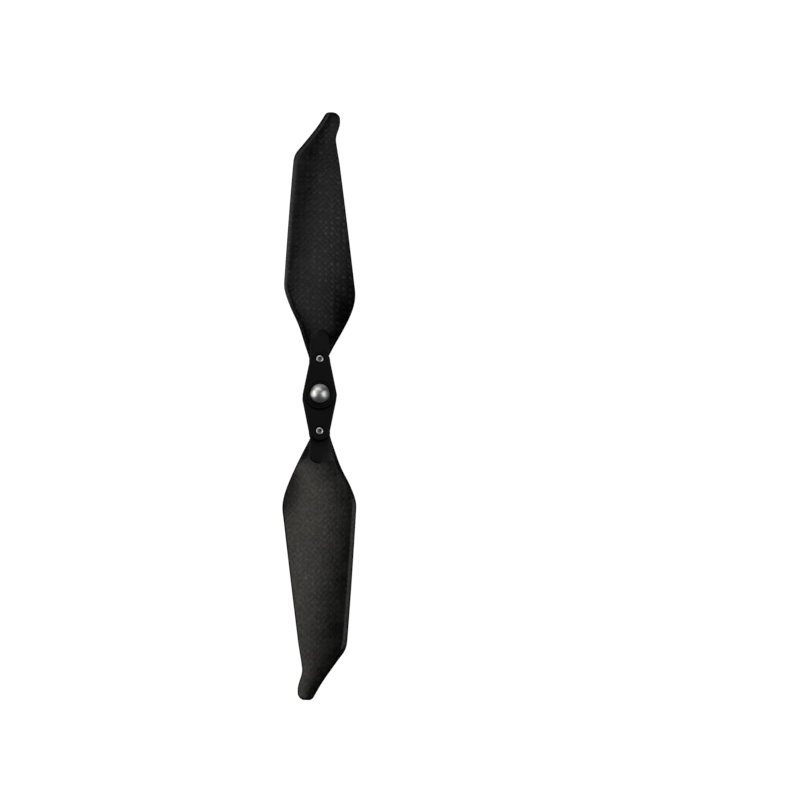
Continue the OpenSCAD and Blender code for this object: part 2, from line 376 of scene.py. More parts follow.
# ---------------------------------------------------------------- dome nut

NUT_R = 3.8
NUT_TOP = nut_high.z
DOME_H = 1.4
DOME_EDGE = 0.5         # rounding between the dome and the nut's side
DOME_STEPS = 22
DOME_REACH = 0.995      # share of the dome's half angle that its loops cover
DOME_GIVES_WAY = 3      # this many of its outer loops give way to the rounding
DOME_SHARP_DEG = 45
NUT_FLANGE_HALF_FLATS = 4.8
NUT_FLANGE_CORNER_R = 5.4
FLANGE_CHAMFER = 0.15
FOOT_CHAMFER = 0.2
THREAD_R = 2.6
THREAD_PITCH = 0.75
THREAD_CUT = 0.36       # depth of the thread's groove
THREAD_LEAD_IN = 0.45
THREAD_DEPTH = 9.0
DRILL_POINT_H = 0.6


def threads(shell, r, pitch, z0, z1, depth, at=(0, 0), steps=48, per_turn=6):
    """Loops up a helical thread, per_turn of them in each turn.

    The wall moves out by depth once in each pitch, further up at each angle round.
    """
    rows = round(abs(z1 - z0) / pitch * per_turn)
    loops = []
    for k in range(rows + 1):
        z = z0 + (z1 - z0) * k / rows
        points = []
        for i in range(steps):
            a = FULL_TURN * i / steps
            phase = (z / pitch - i / steps) % 1
            fade = min(1, k / per_turn, (rows - k) / per_turn)
            out = r + depth * fade * (1 - abs(2 * phase - 1))
            points.append((at[0] + out * math.cos(a), at[1] + out * math.sin(a), z))
        loops.append(shell.loop(points))
    shell.strips(loops)
    return loops


def dome_profile():
    """The domed top from its middle outwards, and down the nut's side through a round edge."""
    dome_r = (NUT_R ** 2 + DOME_H ** 2) / (2 * DOME_H)
    centre_z = NUT_TOP - dome_r
    half_angle = math.asin(NUT_R / dome_r) * DOME_REACH
    angles = [half_angle * i / DOME_STEPS for i in range(1, DOME_STEPS + 1)]
    dome = [(dome_r * math.sin(a), centre_z + dome_r * math.cos(a)) for a in angles]
    start = dome[-DOME_GIVES_WAY]
    side = rounded([start, (NUT_R, NUT_TOP - DOME_H, DOME_EDGE), (NUT_R, COVER_Z)], steps=8)
    return dome[:-DOME_GIVES_WAY] + side[1:]


def make_shaft_nut():
    shell = Shell()
    top = lathe(shell, dome_profile())
    shell.cap(top[0])
    flange = [shell.loop(hexagon(NUT_FLANGE_HALF_FLATS - g, z, corner_r=NUT_FLANGE_CORNER_R - g))
              for g, z in ((FLANGE_CHAMFER, COVER_Z), (0, COVER_Z - FLANGE_CHAMFER),
                           (0, BASE_TOP + FLANGE_CHAMFER), (FLANGE_CHAMFER, BASE_TOP))]
    shell.strip(top[-1], flange[0])
    shell.strips(flange)
    foot = lathe(shell, [
        (NUT_R, BASE_TOP),
        (NUT_R, FOOT_CHAMFER),
        (NUT_R - FOOT_CHAMFER, 0),
        (THREAD_R + THREAD_LEAD_IN, 0),
        (THREAD_R, THREAD_LEAD_IN),
    ])
    shell.strip(flange[-1], foot[0])
    bore = threads(shell, THREAD_R, THREAD_PITCH, 0.5, THREAD_DEPTH, THREAD_CUT, steps=ROUND_STEPS)
    shell.strip(foot[-1], bore[0])
    drill_point = [(THREAD_R * 0.98, THREAD_DEPTH + 0.02), (THREAD_R * 0.5, THREAD_DEPTH + DRILL_POINT_H)]
    end = lathe(shell, drill_point)
    shell.strip(bore[-1], end[0])
    shell.cap(end[-1])
    return shell.make("dome_nut", DOME_SHARP_DEG)


# ---------------------------------------------------------------- pivot hardware

HEAD_R = screw_high.x
HEAD_TOP = screw_high.z
HEAD_Z = COVER_TOP - COUNTERBORE_H
HEAD_SHOULDER = 0.5     # the domed top of the head ends this far below its middle
HEAD_CHAMFER = 0.05
SCREW_R = 1.0
SCREW_STEPS = 60
SCREW_FILLET = 0.1      # between the head and the shank
SCREW_PITCH = 0.4
SCREW_CUT = 0.12        # depth of the screw's thread
SOCKET_HALF_FLATS = 0.65
SOCKET_DEPTH = 0.7
SOCKET_TURN = QUARTER_TURN
SOCKET_CHAMFER_W = 0.06
SOCKET_CHAMFER_H = 0.08
SOCKET_POINT_R = 0.1    # the drilled cone in the socket's floor
SOCKET_POINT_H = 0.2


def make_screw(name, at):
    shell = Shell()
    socket_floor = HEAD_TOP - SOCKET_DEPTH
    levels = ((0, socket_floor), (0, HEAD_TOP - SOCKET_CHAMFER_H), (SOCKET_CHAMFER_W, HEAD_TOP))
    socket = [shell.loop(hexagon(SOCKET_HALF_FLATS + g, z, SCREW_STEPS, at, SOCKET_TURN))
              for g, z in levels]
    shell.strips(socket)
    point = [(SOCKET_HALF_FLATS * 0.9, socket_floor), (SOCKET_POINT_R, socket_floor - SOCKET_POINT_H)]
    floor = lathe(shell, point, at, SCREW_STEPS)
    shell.strip(floor[0], socket[0])
    shell.cap(floor[-1])
    head = rounded([
        (HEAD_R * 0.58, HEAD_TOP),
        (HEAD_R * 0.8, HEAD_TOP - SOCKET_CHAMFER_H, 0.12),
        (HEAD_R, HEAD_TOP - HEAD_SHOULDER, 0.3),
        (HEAD_R, HEAD_Z + HEAD_CHAMFER, 0.05),
        (HEAD_R - HEAD_CHAMFER, HEAD_Z, 0.02),
        (SCREW_R + SCREW_FILLET, HEAD_Z, 0.02),
        (SCREW_R, HEAD_Z - SCREW_FILLET),
    ])
    outside = lathe(shell, head, at, SCREW_STEPS)
    shell.strip(socket[-1], outside[0])
    thread = threads(shell, SCREW_R - SCREW_CUT, SCREW_PITCH, BASE_TOP - 0.2, screw_low.z + 0.25,
                     SCREW_CUT, at, SCREW_STEPS)
    shell.strip(outside[-1], thread[0])
    end = [(SCREW_R * 0.8, screw_low.z + 0.1), (SCREW_R * 0.7, screw_low.z)]
    tip = lathe(shell, end, at, SCREW_STEPS)
    shell.strip(thread[-1], tip[0])
    shell.cap(tip[-1])
    return shell.make(name)


LOCK_Z = lock_low.z
LOCK_TOP = lock_high.z
LOCK_HALF_FLATS = 2.0
LOCK_FACE_R = LOCK_HALF_FLATS * 0.97    # the flat face ends here, and the chamfer starts
LOCK_CHAMFER = math.tan(math.radians(30))
LOCK_BORE_R = 0.95
LOCK_LEAD_IN = 0.15
LOCK_COLLAR_R = 1.8
LOCK_COLLAR_H = 0.6
LOCK_COLLAR_DRAFT = 0.05
LOCK_RING_R = 1.5
LOCK_RING_H = 0.45


def make_lock_nut(name, at):
    """A hexagon nut with its corners chamfered on both faces, and a round collar for the nylon ring."""
    shell = Shell()
    collar_z = LOCK_Z + LOCK_COLLAR_H

    def face(z):
        return shell.loop(circle(LOCK_FACE_R, z, at=at))

    def chamfered(z, sign):
        points = []
        for x, y, _ in hexagon(LOCK_HALF_FLATS, z, at=at, turn=LOCK_NUT_TURN):
            over = math.hypot(x - at[0], y - at[1]) - LOCK_HALF_FLATS
            points.append((x, y, z + sign * over * LOCK_CHAMFER))
        return shell.loop(points)

    outer = [face(LOCK_TOP), chamfered(LOCK_TOP, -1), chamfered(collar_z, 1), face(collar_z)]
    shell.strips(outer)
    inner = lathe(shell, rounded([
        (LOCK_COLLAR_R, collar_z),
        (LOCK_COLLAR_R - LOCK_COLLAR_DRAFT, LOCK_Z, 0.2),
        (LOCK_RING_R + LOCK_COLLAR_DRAFT, LOCK_Z + 0.02, 0.08),
        (LOCK_RING_R, LOCK_Z + LOCK_RING_H, 0.02),
        (LOCK_BORE_R, LOCK_Z + LOCK_RING_H, 0.02),
        (LOCK_BORE_R, LOCK_TOP - LOCK_LEAD_IN, 0.02),
        (LOCK_BORE_R + LOCK_LEAD_IN, LOCK_TOP),
    ]), at)
    shell.strip(outer[-1], inner[0])
    shell.strip(inner[-1], outer[0])
    return shell.make(name)


RING_STEPS = 72


def make_ring(name, at, outer_r, inner_r, z0, z1, edge):
    """A flat ring between two heights, with round edges."""
    shell = Shell()
    middle = (outer_r + inner_r) / 2
    corners = [(outer_r, z0, edge), (outer_r, z1, edge), (inner_r, z1, edge), (inner_r, z0, edge)]
    profile = rounded([(middle, z0)] + corners + [(middle, z0)])
    lathe(shell, profile[:-1], at, RING_STEPS, close=True)
    return shell.make(name)


# ---------------------------------------------------------------- blades

# Each point is a distance from the pivot and then a value there: the edge's distance from the pitch axis,
# the pitch angle, the thickness, or the droop of the trailing edge, all as in the CAD model
LEADING = [(-2, 3.4), (2, 4.4), (6, 5.7), (14, 8.4), (22, 12.1), (28, 14.1), (32, 14.25),
           (82, 10.9), (86, 9.95), (90, 7.1), (98, 1.4), (105, -2.7)]
TRAILING = [(-2, 1.8), (3, 4.1), (14, 9.7), (22, 13.1), (28, 14.4), (34, 13.9),
            (82, 8.1), (91, 6.7), (94, 6.5), (100, 8.1), (105, 7.9)]
TWIST = [(-2, 0), (3, 0), (6, 0.5), (12, 11.5), (18, 16), (28, 18), (50, 16), (80, 11.5), (105, 9.5)]
THICKNESS = [(-2, 2.5), (4, 2.5), (14, 2), (50, 1.6), (100, 1), (105, 1)]
DROOP = [(-2, 0), (10, 0), (13, 0.2), (20, 1), (26, 1), (31, 0.3), (37, 0), (105, 0)]
DROOP_START = 0.65      # share of the chord behind which it starts
CAMBER = 0.03           # height of the arched section over its chord
AIRFOIL_SHARE = 0.65    # share of the thickness that follows an airfoil, and the rest a plate
PLATE_EDGE_R = 0.5
LEADING_ROUND = 2.2
NOSE_DROP = 0.4         # how far the leading edge bends down
NOSE_L = 2.2            # and the width of the bent strip
TIP_SHARE = 0.35        # share of the thickness that is left at the very tip
RAMP_START = 4          # the flat root turns into the full section from here
RAMP_L = 12             # over this length
ROOT_R = 4.2
ROOT_T = 2.9
PAD_HALF_W = 3.65
PAD_REACH = 12.3
PAD_STEP = (-0.28, 0.06)    # the pad's side wall, from outside its outline to inside
PAD_EDGE_R = 0.3
BUSH_HOLE_R = 2.03
BUSH_CUT_HALF_H = 3.0   # the hole's cutter runs past both faces of the root
LEADING_CORNER_R = 1.0
TIP_CORNER_R = 2.6
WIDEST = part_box("blade_a")[1].x / MM - 0.01
LEAST_CHORD = 0.2       # a narrower ring of the loft is opened to this


def curve(points, x):
    """Value at x of a smooth curve through points that are sorted by x."""
    i = 0
    while i < len(points) - 2 and x >= points[i + 1][0]:
        i += 1

    def slope(k):
        a, b = points[max(k - 1, 0)], points[min(k + 1, len(points) - 1)]
        return (b[1] - a[1]) / (b[0] - a[0])

    w = points[i + 1][0] - points[i][0]
    t = (x - points[i][0]) / w
    return (points[i][1] * (1 + 2 * t) * (1 - t) ** 2 + slope(i) * w * t * (1 - t) ** 2
            + points[i + 1][1] * t * t * (3 - 2 * t) - slope(i + 1) * w * t * t * (1 - t))


def corner_cut(r, c):
    """How far a round corner of radius c at the tip takes an edge inwards."""
    return 0 if r < BLADE_L - c else c - math.sqrt(max(0, c * c - (r - BLADE_L + c) ** 2))


def edge_place(points, corner_r, r):
    """Distance of an edge from the pitch axis: the outline, and round the pivot the round root."""
    outline = min(curve(points, r) - corner_cut(r, corner_r), WIDEST) if r > -1 else 0
    return outline if r > ROOT_R else max(outline, math.sqrt(max(0, ROOT_R ** 2 - r * r)))


def leading(r):
    return edge_place(LEADING, LEADING_CORNER_R, r)


def trailing(r):
    return edge_place(TRAILING, TIP_CORNER_R, r)


def step(x, low, high):
    """A smooth rise from 0 to 1 between low and high."""
    t = min(1, max(0, (x - low) / (high - low)))
    return t * t * (3 - 2 * t)


def edge_round(d, c):
    """Share of the thickness that is left at a distance d inside an edge with a rounding of c."""
    return 1 if d >= c else math.sqrt(max(0, 1 - (1 - d / c) ** 2))


def pad_inside(r, e):
    """How far a point is inside the outline of the raised pad and the round root, negative outside."""
    straight_end = PAD_REACH - PAD_HALF_W
    if r < 0:
        pad = -abs(r) - 1
    elif r < straight_end:
        pad = PAD_HALF_W - abs(e)
    else:
        pad = PAD_HALF_W - math.hypot(r - straight_end, e)
    return max(pad, ROOT_R - math.hypot(r, e))


def airfoil(s):
    """Thickness form of a four-digit airfoil section, 1 at its most."""
    return 10 * (0.2969 * math.sqrt(s) + s * (-0.126 + s * (-0.3516 + s * (0.2843 - 0.1036 * s))))


def blade_faces(r, e, le, te):
    """Heights of the upper and the lower face over the blade's middle plane."""
    w = le + te
    s = min(1, max(0, (le - e) / w))
    ramp = min(1, max(0, (r - RAMP_START) / RAMP_L))
    to_le, to_te = le - e, e + te
    if r < 0:
        to_le = to_te = ROOT_R - math.hypot(r, e)
    leading_round = PLATE_EDGE_R + (LEADING_ROUND - PLATE_EDGE_R) * ramp
    plate = edge_round(to_le, leading_round) * edge_round(to_te, PLATE_EDGE_R)
    tip = TIP_SHARE + (1 - TIP_SHARE) * edge_round(BLADE_L - r, LEADING_CORNER_R)
    share = AIRFOIL_SHARE * ramp
    half = curve(THICKNESS, r) / 2 * tip * ((1 - share) * plate + share * airfoil(s))
    sag = curve(DROOP, r) * max(0, (s - DROOP_START) / (1 - DROOP_START)) ** 2
    middle = e * math.tan(math.radians(curve(TWIST, r))) + CAMBER * w * ramp * 4 * s * (1 - s) - sag
    middle -= NOSE_DROP * ramp * (1 - step(to_le, 0, NOSE_L))
    up, down = middle + half, middle - half
    inside = step(pad_inside(r, e), *PAD_STEP)
    pad = ROOT_T / 2 * edge_round(max(0, min(to_le, to_te)), PAD_EDGE_R)
    return up + (max(up, pad) - up) * inside, down + (min(down, -pad) - down) * inside


END_ROWS = 14           # rings of the loft along its round root, and along the tip's corner
FINE_GAP, WIDE_GAP = 0.2, 1.1
FINE_END = 13.0         # the pad needs the fine gap as far as here
GAP_GROWTH = 1.08
CHORD_STEPS = 90
EDGE_CROWDING = 0.35


def blade_stations():
    """Distances of the loft's rings from the pivot: close together along the root, pad and tip."""
    rows = [-ROOT_R * math.cos(QUARTER_TURN * i / END_ROWS) for i in range(END_ROWS)]
    r, gap = 0.0, FINE_GAP
    while r < BLADE_L - TIP_CORNER_R:
        rows.append(r)
        gap = FINE_GAP if r < FINE_END else min(WIDE_GAP, gap * GAP_GROWTH)
        r += gap
    turns = [QUARTER_TURN * i / END_ROWS for i in range(END_ROWS + 1)]
    return rows + [BLADE_L - TIP_CORNER_R * (1 - math.sin(t)) for t in turns]


def chord_steps():
    """Shares of the chord, closer together towards both edges."""
    angles = [math.pi * i / CHORD_STEPS for i in range(CHORD_STEPS + 1)]
    return [0.5 - 0.5 * math.cos(a) * (1 - EDGE_CROWDING * math.sin(a) ** 2) for a in angles]


BLADE_SHARP_DEG = 42


def blade_ring(r, side):
    """Points round the blade's section at r: its upper face from the leading edge, and back below."""
    le, te = leading(r), trailing(r)
    if le + te < LEAST_CHORD:
        le, te = le + LEAST_CHORD / 2, te + LEAST_CHORD / 2
    upper, lower = [], []
    for s in chord_steps():
        e = le - s * (le + te)
        up, down = blade_faces(r, e, le, te)
        upper.append((-side * e, side * r, up))
        lower.append((-side * e, side * r, down))
    return upper + lower[-2:0:-1]


def close_blade_end(shell, ring):
    """Fills a section of the blade with faces between its upper and its lower side."""
    n = CHORD_STEPS + 1
    upper, lower = ring[:n], [ring[0]] + ring[:n - 1:-1] + [ring[n - 1]]
    for i in range(n - 1):
        corners = [upper[i], upper[i + 1], lower[i + 1], lower[i]]
        corners = [v for k, v in enumerate(corners) if v not in corners[:k]]
        shell.bm.faces.new(corners)


def make_blade(name, side):
    """side is 1 for the blade on +Y and -1 for the one on -Y."""
    shell = Shell()
    pivot = Vector((0, side * PIVOT_Y, SLOT_MID))
    rings = [shell.loop([Vector(p) + pivot for p in blade_ring(r, side)]) for r in blade_stations()]
    shell.strips(rings)
    close_blade_end(shell, rings[0])
    close_blade_end(shell, rings[-1])
    blade = shell.make(name, BLADE_SHARP_DEG)
    cut_bush_hole(blade, pivot)
    paint_blade(blade, side)
    return blade


def cut_bush_hole(blade, pivot):
    shell = Shell()
    low, high = SLOT_MID - BUSH_CUT_HALF_H, SLOT_MID + BUSH_CUT_HALF_H
    wall = lathe(shell, [(BUSH_HOLE_R, low), (BUSH_HOLE_R, high)], (pivot.x, pivot.y), RING_STEPS)
    shell.cap(wall[0])
    shell.cap(wall[-1])
    cutter = shell.make("bush_hole_cutter")
    cut = blade.modifiers.new("bush hole", "BOOLEAN")
    cut.object = cutter
    cut.operation = "DIFFERENCE"
    cut.solver = "EXACT"
    blade.modifiers.move(1, 0)
    with bpy.context.temp_override(object=blade, active_object=blade):
        bpy.ops.object.modifier_apply(modifier=cut.name)
    bpy.data.objects.remove(cutter)
    blade.data.set_sharp_from_angle(angle=math.radians(BLADE_SHARP_DEG))


WEAVE_FADE = (-0.45, -0.1)  # the weave fades out just outside the pad's outline
BEAD_FADE = (0.15, 0.9)     # and the clear bead between these distances from an edge
SHOW_FROM, SHOW_TO = 0.4, 1.1   # how much the weave shows along the leading edge, and further back
SHOW_RISE = (0.25, 0.6)     # shares of the chord between which it comes to show fully


def paint_blade(blade, side):
    """Stores on each vertex how far it is woven, how much the weave shows, and how far it is edge bead."""
    mesh = blade.data
    weave, bead, show = (mesh.attributes.new(name, "FLOAT", "POINT") for name in ("weave", "bead", "show"))
    for v in mesh.vertices:
        e = -side * v.co.x / MM
        r = side * v.co.y / MM - PIVOT_Y
        le, te = leading(r), trailing(r)
        back = (le - e) / max(LEAST_CHORD / 2, le + te)
        weave.data[v.index].value = 1 - step(pad_inside(r, e), *WEAVE_FADE)
        bead.data[v.index].value = 1 - step(min(le - e, e + te, BLADE_L - r), *BEAD_FADE)
        show.data[v.index].value = SHOW_FROM + (SHOW_TO - SHOW_FROM) * step(back, *SHOW_RISE)


# ---------------------------------------------------------------- materials

class Nodes:
    """A short way to write a node tree."""

    def __init__(self, material):
        material.use_nodes = True
        self.tree = material.node_tree
        self.shader = self.tree.nodes["Principled BSDF"]

    def add(self, kind, **settings):
        node = self.tree.nodes.new(kind)
        for key, value in settings.items():
            setattr(node, key, value)
        return node

    def plug(self, value, socket):
        if isinstance(value, bpy.types.NodeSocket):
            self.tree.links.new(value, socket)
        else:
            socket.default_value = value

    def math(self, operation, a, b=0.0, clamp=False):
        node = self.add("ShaderNodeMath", operation=operation, use_clamp=clamp)
        self.plug(a, node.inputs[0])
        self.plug(b, node.inputs[1])
        return node.outputs[0]

    def mix(self, share, a, b):
        """A mix of two plain numbers."""
        node = self.add("ShaderNodeMix", data_type="FLOAT")
        self.plug(share, node.inputs["Factor"])
        self.plug(a, node.inputs["A"])
        self.plug(b, node.inputs["B"])
        return node.outputs["Result"]

    def colour(self, share, a, b):
        node = self.add("ShaderNodeMix", data_type="RGBA")
        self.plug(share, node.inputs["Factor"])
        for value, socket in ((a, node.inputs[6]), (b, node.inputs[7])):
            self.plug(value if isinstance(value, bpy.types.NodeSocket) else (*value, 1), socket)
        return node.outputs[2]

    def joined(self, x, y):
        """A vector from two numbers."""
        node = self.add("ShaderNodeCombineXYZ")
        self.plug(x, node.inputs[0])
        self.plug(y, node.inputs[1])
        return node.outputs[0]

    def place(self, scale=(1, 1, 1), turn=0.0):
        """Coordinates that stay with the piece, in units of 1 / scale metres."""
        coords = self.add("ShaderNodeTexCoord").outputs["Object"]
        mapping = self.add("ShaderNodeMapping", vector_type="POINT")
        self.plug(coords, mapping.inputs["Vector"])
        mapping.inputs["Rotation"].default_value = (0, 0, turn)
        mapping.inputs["Scale"].default_value = scale
        return mapping.outputs["Vector"]

    def noise(self, vector, scale, detail=2.0, roughness=0.5):
        node = self.add("ShaderNodeTexNoise")
        self.plug(vector, node.inputs["Vector"])
        node.inputs["Scale"].default_value = scale
        node.inputs["Detail"].default_value = detail
        node.inputs["Roughness"].default_value = roughness
        return node.outputs["Fac"]

    def range(self, value, low, high, to_low=0.0, to_high=1.0):
        node = self.add("ShaderNodeMapRange")
        self.plug(value, node.inputs["Value"])
        for key, number in (("From Min", low), ("From Max", high), ("To Min", to_low), ("To Max", to_high)):
            node.inputs[key].default_value = number
        return node.outputs["Result"]

    def bump(self, height, distance, strength=1.0, after=None):
        node = self.add("ShaderNodeBump")
        self.plug(height, node.inputs["Height"])
        node.inputs["Distance"].default_value = distance
        node.inputs["Strength"].default_value = strength
        if after is not None:
            self.plug(after, node.inputs["Normal"])
        return node.outputs["Normal"]

    def edge(self, radius):
        """1 on a convex or concave edge, 0 on a flat face: how far a rounded normal leaves the true one."""
        rounded_normal = self.add("ShaderNodeBevel", samples=6)
        rounded_normal.inputs["Radius"].default_value = radius
        true_normal = self.add("ShaderNodeNewGeometry").outputs["Normal"]
        dot = self.add("ShaderNodeVectorMath", operation="DOT_PRODUCT")
        self.plug(rounded_normal.outputs["Normal"], dot.inputs[0])
        self.plug(true_normal, dot.inputs[1])
        return self.range(dot.outputs["Value"], 1.0, 0.85)


def material(name, metallic=0.0, specular=0.5):
    made = bpy.data.materials.new(name)
    n = Nodes(made)
    n.shader.inputs["Metallic"].default_value = metallic
    n.shader.inputs["Specular IOR Level"].default_value = specular
    return made, n


MOST_NOISE = (0.3, 0.7)     # nearly all values of a noise texture lie between these

# The cloth
TOW = 1.73 * MM         # width of one bundle of fibres
CLOTH_TURN = math.radians(45)
CLOTH_WOBBLE = 0.6      # how far the bundles wander, in bundle widths
FIBRE_STRETCH = (0.9, 22)   # scale of the streaks along and across the fibres
CLEAR_SCALE, WANDER_SCALE, CLOUD_SCALE, WAVE_SCALE, MOTTLE_SCALE = 45, 220, 160, 350, 900
UNDER_DOT_HIGHLIGHT = 0.25        # strength of a painted highlight dot where the other bundle is on top
DOT_HIGHLIGHT_LUCK = (0.2, 1.1)   # and how much the painted highlight varies from one dot to the next
STREAK_TONE = (0.8, 1.1)
HILL_BUMP = 0.018 * MM
SKIN_BUMP = 0.015 * MM
STREAK_BUMP = 0.01 * MM

# The resin over it. Its gloss is that of a very dark metal, so the base colour says how bright it mirrors
LAMINATE_METALLIC = 0.85
FAINT, STRONG = 0.025, 0.085            # between the dots, and on them, where they are painted highlights
SKIN_TONE = 0.08                        # how far the plain skin is from the first towards the second
CLOUD_TONE = (-0.05, 0.15)
PAD_DARK, PAD_LIGHT = (0.018, 0.018, 0.02), (0.024, 0.024, 0.026)
PAD_ROUGH, BEAD_ROUGH = 0.38, 0.26
WARP_ROUGH, WEFT_ROUGH = 0.28, 0.32
ROUGH_DRIFT = (-0.05, 0.05)

# Metres from the shaft, and what changes there
ROOT_END, BODY_START = 0.026, 0.053     # the root's painted shade turns into the body's brightness
BODY_END, TIP_START = 0.09, 0.115       # and the body's brightness into the tip's, painted darker on blade a and lighter on blade b
FADE_START, FADE_END = 0.045, 0.1       # the weave shows less and less
FADE_TONE = (1.15, 0.5)

# How one blade's laminate looks: how strongly the weave shows, at least and at most, how mottled the clear
# skin is, its tint, which on blade b is a painted warm sheen, and how bright the root, the tip and the bead
# are beside the middle, as painted shade and painted light that differ from blade to blade.
Laminate = namedtuple("Laminate", ("weave", "mottle", "tint", "root", "tip", "bead"))
LAMINATES = {
    "a": Laminate((0.6, 1.6), 0.15, (1.0, 1.0, 1.0), 0.2, 0.7, 1.0),
    "b": Laminate((0.15, 0.6), 0.22, (1.01, 1.0, 0.96), 1.0, 1.05, 0.33),
}


def cloth_grid(n):
    """Coordinates across the cloth, 1 per bundle, which wander like hand-laid bundles."""
    split = n.add("ShaderNodeSeparateXYZ")
    n.plug(n.place(scale=(1 / TOW, 1 / TOW, 1 / TOW), turn=CLOTH_TURN), split.inputs[0])
    wobble_u, wobble_v = n.noise(n.place(), WANDER_SCALE), n.noise(n.place(turn=1.0), WANDER_SCALE)
    u = n.math("ADD", split.outputs["X"], n.range(wobble_u, 0, 1, -CLOTH_WOBBLE, CLOTH_WOBBLE))
    v = n.math("ADD", split.outputs["Y"], n.range(wobble_v, 0, 1, -CLOTH_WOBBLE, CLOTH_WOBBLE))
    return u, v


def cloth_hill(n, u, v):
    """A soft hill on each crossing of two bundles."""
    hill_u, hill_v = (n.math("SINE", n.math("MULTIPLY", n.math("FRACT", x), math.pi)) for x in (u, v))
    return n.math("MULTIPLY", hill_u, hill_v)


def cloth_streaks(n, u, v, over):
    """Fine streaks along the bundle that is on top."""

    def fibres(along, across):
        stretch_along, stretch_across = FIBRE_STRETCH
        x, y = n.math("MULTIPLY", along, stretch_along), n.math("MULTIPLY", across, stretch_across)
        return n.noise(n.joined(x, y), 1, 1.5)

    return n.mix(over, fibres(u, v), fibres(v, u))


def cloth_dot_highlights(n, u, v, over, hill):
    """Painted highlights of the weave: one dot on each crossing, and not two of the same strength."""
    luck = n.add("ShaderNodeTexWhiteNoise", noise_dimensions="2D")
    n.plug(n.joined(n.math("FLOOR", u), n.math("FLOOR", v)), luck.inputs["Vector"])
    dot_highlights = n.math("MULTIPLY", hill, n.range(over, 0, 1, UNDER_DOT_HIGHLIGHT, 1.0))
    return n.math("MULTIPLY", dot_highlights, n.range(luck.outputs["Value"], 0, 1, *DOT_HIGHLIGHT_LUCK))


def carbon_material(name, skin):
    """Woven carbon under clear resin, and plain black resin on the root pad."""
    made, n = material(name, metallic=LAMINATE_METALLIC)
    weave, bead, show = (n.add("ShaderNodeAttribute", attribute_name=key).outputs["Fac"]
                         for key in ("weave", "bead", "show"))
    outward = n.add("ShaderNodeVectorMath", operation="LENGTH")
    n.plug(n.place(), outward.inputs[0])
    outward = outward.outputs["Value"]
    cloudy = n.noise(n.place(), CLOUD_SCALE, 3)

    u, v = cloth_grid(n)
    over = n.math("PINGPONG", n.math("ADD", n.math("FLOOR", u), n.math("FLOOR", v)), 1.0)
    hill = cloth_hill(n, u, v)
    streaks = cloth_streaks(n, u, v, over)
    dot_highlights = cloth_dot_highlights(n, u, v, over, hill)

    clear = n.range(n.noise(n.place(), CLEAR_SCALE), 0.35, 0.65, *skin.weave)
    clear = n.math("MULTIPLY", clear, n.range(outward, FADE_START, FADE_END, *FADE_TONE))
    clear = n.math("MULTIPLY", clear, show)
    mottle = n.noise(n.place(), MOTTLE_SCALE, 3, 0.6)
    mottle = n.range(mottle, *MOST_NOISE, SKIN_TONE - skin.mottle, SKIN_TONE + skin.mottle)
    # Painted highlights: the dots make the colour lighter on each crossing of the weave
    tone = n.math("ADD", n.math("MULTIPLY", dot_highlights, clear), mottle)
    tone = n.math("ADD", tone, n.range(cloudy, *MOST_NOISE, *CLOUD_TONE))
    tone = n.math("MULTIPLY", tone, n.range(streaks, 0.2, 0.8, *STREAK_TONE), clamp=True)

    # Painted shade and painted light: each blade's root, tip and edge bead are darkened or lightened beside
    # its middle by its laminate's factors
    painted_shade = n.math("MULTIPLY", n.range(outward, ROOT_END, BODY_START, skin.root, 1.0),
                   n.range(outward, BODY_END, TIP_START, 1.0, skin.tip))
    painted_shade = n.math("MULTIPLY", painted_shade, n.mix(bead, 1.0, skin.bead))
    # Painted light: the warm tint of blade b is a painted warm sheen
    faint, strong = ([level * part for part in skin.tint] for level in (FAINT, STRONG))
    shaded = n.add("ShaderNodeVectorMath", operation="SCALE")
    n.plug(n.colour(tone, faint, strong), shaded.inputs[0])
    n.plug(painted_shade, shaded.inputs["Scale"])
    plain = n.colour(cloudy, PAD_DARK, PAD_LIGHT)
    n.plug(n.colour(weave, plain, shaded.outputs["Vector"]), n.shader.inputs["Base Color"])

    rough = n.mix(weave, PAD_ROUGH, n.mix(over, WARP_ROUGH, WEFT_ROUGH))
    rough = n.math("ADD", rough, n.range(cloudy, *MOST_NOISE, *ROUGH_DRIFT))
    n.plug(n.mix(bead, rough, BEAD_ROUGH), n.shader.inputs["Roughness"])

    normal = n.bump(n.math("MULTIPLY", hill, weave), HILL_BUMP)
    normal = n.bump(n.math("MULTIPLY", n.noise(n.place(), WAVE_SCALE), weave), SKIN_BUMP, after=normal)
    normal = n.bump(n.math("MULTIPLY", streaks, weave), STREAK_BUMP, 0.4, after=normal)
    n.plug(normal, n.shader.inputs["Normal"])
    return made


WORN_EDGE_R = 0.12 * MM
WORN_POLISH = 0.12      # how much smoother an edge is than the faces beside it
GRAIN_BUMP = 0.02 * MM


def plastic_material(name, low, high, roughness, grain, specular=0.5):
    """Moulded plastic with a fine grain, and edges that handling has polished."""
    made, n = material(name, specular=specular)
    fine = n.noise(n.place(), 1 / grain, 3, 0.6)
    broad = n.noise(n.place(), 180, 2)
    n.plug(n.colour(broad, low, high), n.shader.inputs["Base Color"])
    worn = n.edge(WORN_EDGE_R)
    rough = n.math("ADD", n.range(fine, *MOST_NOISE, -0.06, 0.06),
                   n.range(broad, *MOST_NOISE, roughness - 0.03, roughness + 0.03))
    n.plug(n.math("SUBTRACT", rough, n.math("MULTIPLY", worn, WORN_POLISH)), n.shader.inputs["Roughness"])
    n.plug(n.bump(fine, GRAIN_BUMP, 0.5), n.shader.inputs["Normal"])
    return made


# Painted shade: the dark colour of the inside of a screw's socket, where little light reaches
SOCKET_SHADE = (0.14, 0.13, 0.11)
RING_SCALE = 9000       # of the turning marks
RING_BUMP = 0.004 * MM


